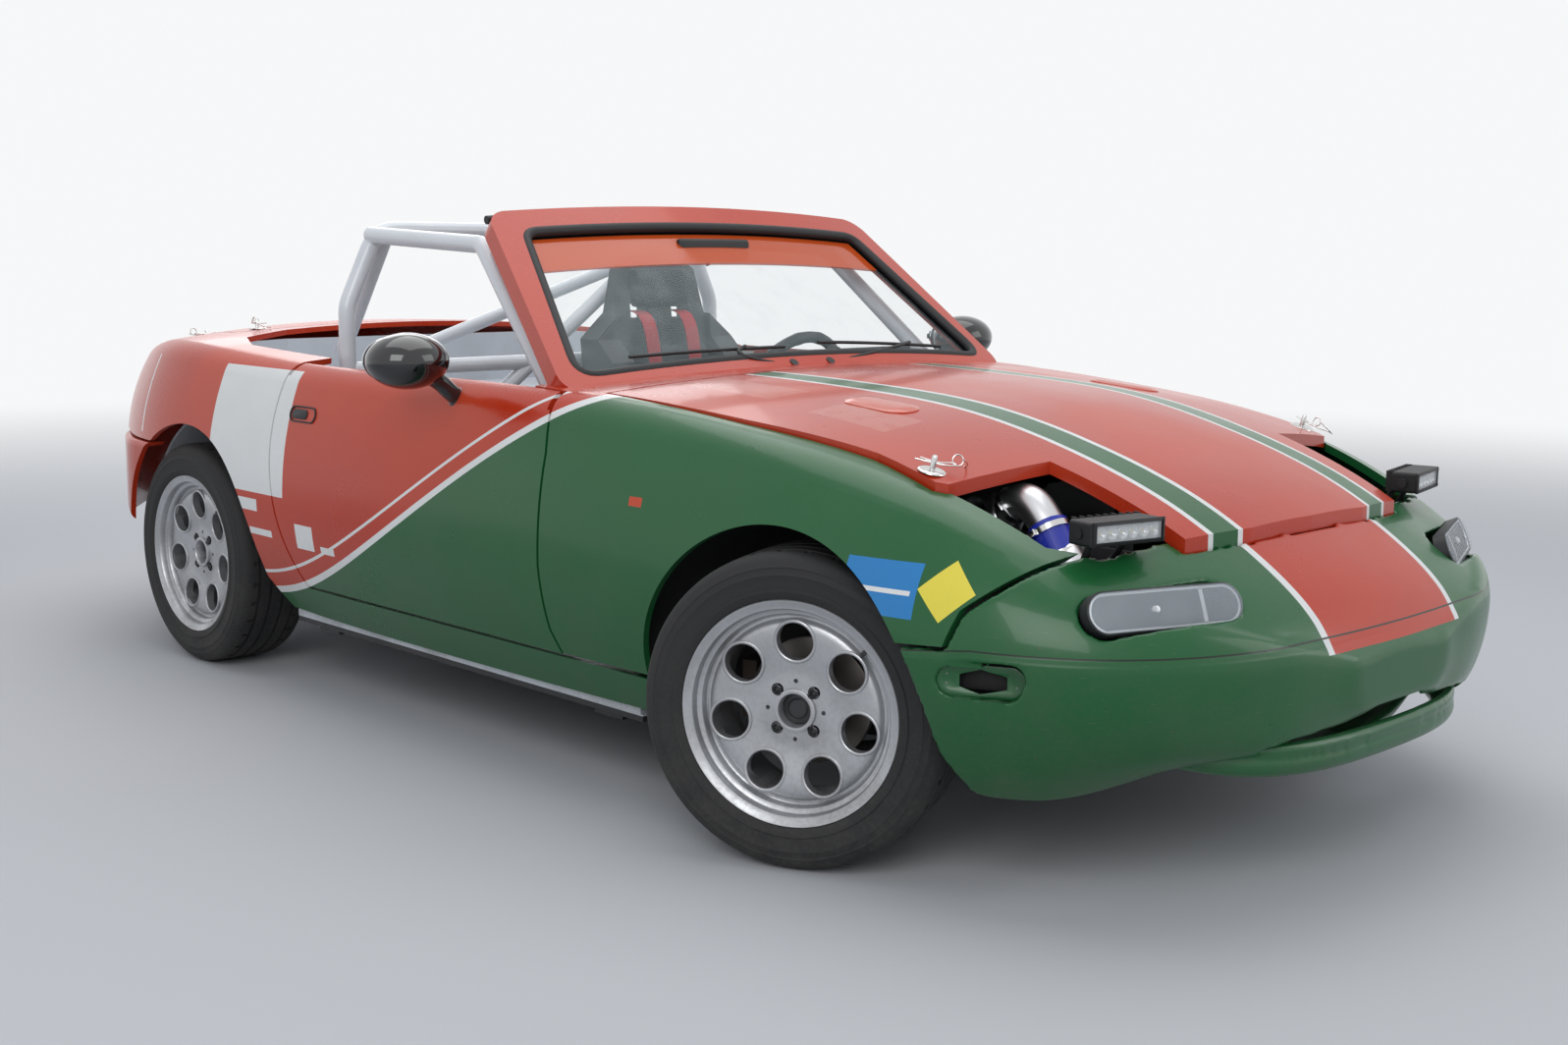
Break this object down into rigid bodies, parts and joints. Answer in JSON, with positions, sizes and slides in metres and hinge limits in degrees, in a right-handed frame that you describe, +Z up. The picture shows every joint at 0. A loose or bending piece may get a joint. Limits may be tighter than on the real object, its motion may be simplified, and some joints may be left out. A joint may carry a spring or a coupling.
{
  "type": "open two-seat roadster car prepared for track days",
  "caption": "Open two-seat car with doors, lids, steering, wheels, roll cage and open headlamp pits",
  "frame": {"origin": "centre of the bounding box, on the floor that the tyres stand on", "axes": "+X forward, +Y to the car's left, +Z up"},
  "size_m": [3.947, 2.0002, 1.2122],
  "materials": {
    "body_paint": "sun-faded orange-red paint",
    "green_paint": "green paint",
    "white_paint": "white cabin paint",
    "cage_paint": "gloss white cage paint",
    "underbody": "black stone-guard paint",
    "black_plastic": "grained black plastic",
    "mirror_shell": "gloss black",
    "mirror_glass": "silvered glass",
    "seal_rubber": "black rubber",
    "hose_rubber": "ribbed black hose",
    "silicone_blue": "blue silicone coupler",
    "screen_glass": "clear laminated glass",
    "sun_strip": "orange see-through strip",
    "lamp_clear": "ribbed clear lens",
    "lamp_red": "red lens",
    "lamp_amber": "amber lens",
    "lamp_housing": "black finned casting",
    "lamp_bulb": "bright reflector",
    "seat_cloth": "black seat cloth",
    "harness_red": "red webbing",
    "harness_black": "black webbing",
    "dash_plastic": "soft black dashboard",
    "wheel_leather": "black leather",
    "alloy": "silver lacquered alloy",
    "bare_alloy": "bare aluminium",
    "polished_steel": "polished steel",
    "steel": "plain steel",
    "iron": "cast iron",
    "engine_metal": "engine castings",
    "tyre_rubber": "black tyre rubber",
    "decal_blank": "blank white vinyl"
  },
  "bodies": {
    "chassis": {"floor_tub": "white_paint", "front_structure": "underbody", "rear_tub": "white_paint", "front_wing_left": "body_paint", "front_wing_right": "body_paint", "front_cover": "body_paint", "body_side_left": "body_paint", "body_side_right": "body_paint", "rear_deck": "body_paint", "rear_cover": "body_paint", "cowl_panel": "body_paint", "windscreen_frame": "body_paint", "windscreen_glass": "screen_glass", "roll_cage": "cage_paint", "seat": "seat_cloth", "harness": "harness_red", "dashboard": "dash_plastic", "front_subframe": "underbody", "rear_subframe": "underbody", "engine_block": "engine_metal", "drivetrain": "steel", "intake_pipe": "bare_alloy", "intercooler": "bare_alloy", "turn_lamps": "lamp_clear", "tail_lamps": "lamp_red", "light_bars": "lamp_housing", "exhaust": "steel"},
    "steering": {"steering_wheel": "wheel_leather"},
    "steer_left": {"front_knuckle_left": "iron"},
    "steer_right": {"front_knuckle_right": "iron"},
    "door_left": {"door_left": "body_paint", "door_mirror_left": "mirror_shell"},
    "door_right": {"door_right": "body_paint", "door_mirror_right": "mirror_shell"},
    "bonnet": {"bonnet": "body_paint"},
    "boot_lid": {"boot_lid": "body_paint"},
    "wheel_front_left": {"rim_front_left": "alloy", "tyre_front_left": "tyre_rubber"},
    "wheel_front_right": {"rim_front_right": "alloy", "tyre_front_right": "tyre_rubber"},
    "wheel_rear_left": {"rim_rear_left": "alloy", "tyre_rear_left": "tyre_rubber"},
    "wheel_rear_right": {"rim_rear_right": "alloy", "tyre_rear_right": "tyre_rubber"}
  },
  "joints": [
    {"name": "door_left_hinge", "type": "hinge", "parent": "chassis", "child": "door_left", "pos_m": [0.5085, 0.832, 0.55], "axis": [0, 0, -1], "range_deg": [0, 65]},
    {"name": "door_right_hinge", "type": "hinge", "parent": "chassis", "child": "door_right", "pos_m": [0.5085, -0.832, 0.55], "axis": [0, 0, 1], "range_deg": [0, 65]},
    {"name": "bonnet_hinge", "type": "hinge", "parent": "chassis", "child": "bonnet", "pos_m": [0.5565, 0, 0.862], "axis": [0, -1, 0], "range_deg": [0, 60]},
    {"name": "boot_lid_hinge", "type": "hinge", "parent": "chassis", "child": "boot_lid", "pos_m": [-1.2555, 0, 0.894], "axis": [0, 1, 0], "range_deg": [0, 70]},
    {"name": "steer_left_kingpin", "type": "hinge", "parent": "chassis", "child": "steer_left", "pos_m": [1.1585, 0.675, 0.293], "axis": [0, 0, 1], "range_deg": [-60, 12]},
    {"name": "steer_right_kingpin", "type": "hinge", "parent": "chassis", "child": "steer_right", "pos_m": [1.1585, -0.675, 0.293], "axis": [0, 0, 1], "range_deg": [-60, 12]},
    {"name": "steering_wheel_turn", "type": "hinge", "parent": "chassis", "child": "steering", "pos_m": [0.0435, 0.345, 0.735], "axis": [-0.9135, 0, 0.4067], "range_deg": [-840, 168]},
    {"name": "wheel_front_left_spin", "type": "hinge", "parent": "steer_left", "child": "wheel_front_left", "pos_m": [1.13816, 0.72068, 0.293], "axis": [-0.4067, 0.9135, 0], "continuous": true},
    {"name": "wheel_front_right_spin", "type": "hinge", "parent": "steer_right", "child": "wheel_front_right", "pos_m": [1.17884, -0.72068, 0.293], "axis": [-0.4067, 0.9135, 0], "continuous": true},
    {"name": "wheel_rear_left_spin", "type": "hinge", "parent": "chassis", "child": "wheel_rear_left", "pos_m": [-1.0565, 0.712, 0.293], "axis": [0, 1, 0], "continuous": true},
    {"name": "wheel_rear_right_spin", "type": "hinge", "parent": "chassis", "child": "wheel_rear_right", "pos_m": [-1.0565, -0.712, 0.293], "axis": [0, 1, 0], "continuous": true}
  ],
  "couplings": [
    {"joint": "steer_right_kingpin", "follows": "steer_left_kingpin", "ratio": 1},
    {"joint": "steering_wheel_turn", "follows": "steer_left_kingpin", "ratio": 14}
  ]
}
